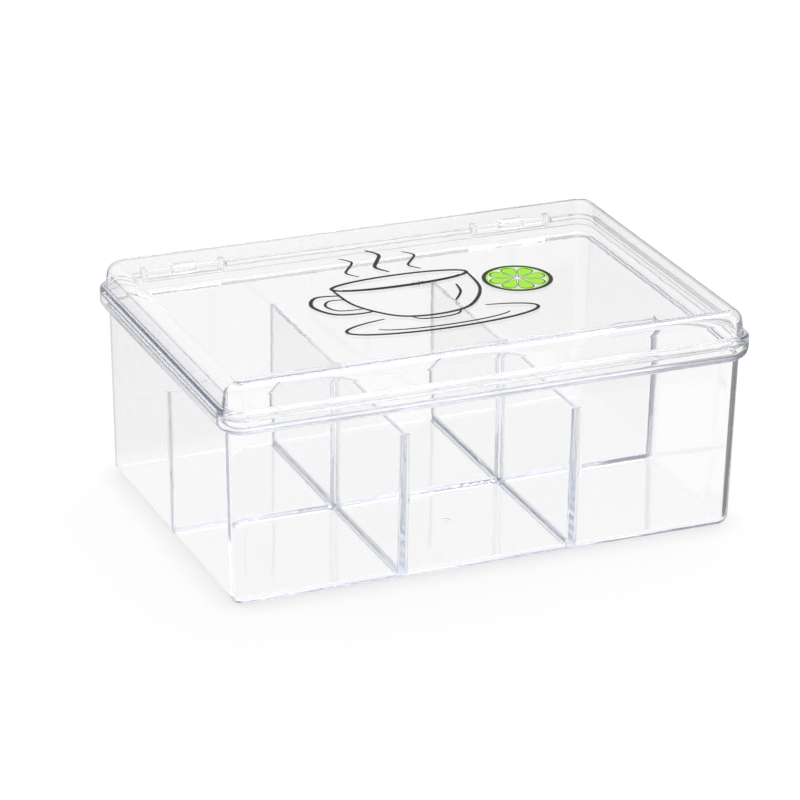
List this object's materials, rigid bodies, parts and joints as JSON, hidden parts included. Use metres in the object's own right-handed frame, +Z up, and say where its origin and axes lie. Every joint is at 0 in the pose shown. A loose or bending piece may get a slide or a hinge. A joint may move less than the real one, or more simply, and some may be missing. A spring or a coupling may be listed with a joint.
{
  "type": "tea bag organizer box",
  "caption": "Clear moulded tea bag box: a compartmented tray with a stepped rim and a domed lid that swings up on snap hinges at the rear.",
  "frame": {"origin": "on the surface it stands on, under the middle of the closed box's bounding box (rim and hinge knuckles included)", "axes": "+Z up, +X to the right along the front, +Y from the front towards the hinges at the rear"},
  "size_m": [0.215, 0.15, 0.089],
  "materials": {
    "clear_polystyrene": "polished, water clear with a faint blue tint in thick sections",
    "black_print": "satin pad-printed ink",
    "green_print": "satin pad-printed ink"
  },
  "bodies": {
    "tray": {"tray_shell": "clear_polystyrene", "long_divider": "clear_polystyrene", "left_cross_divider": "clear_polystyrene", "right_cross_divider": "clear_polystyrene", "left_hinge_lugs": "clear_polystyrene", "right_hinge_lugs": "clear_polystyrene", "left_hinge_pin": "clear_polystyrene", "right_hinge_pin": "clear_polystyrene"},
    "lid": {"lid_shell": "clear_polystyrene", "left_hinge_clip": "clear_polystyrene", "right_hinge_clip": "clear_polystyrene"}
  },
  "joints": [
    {"name": "lid_hinge", "type": "hinge", "parent": "tray", "child": "lid", "pos_m": [0, 0.0729, 0.0782], "axis": [-1, 0, 0], "range_deg": [0, 110]}
  ]
}
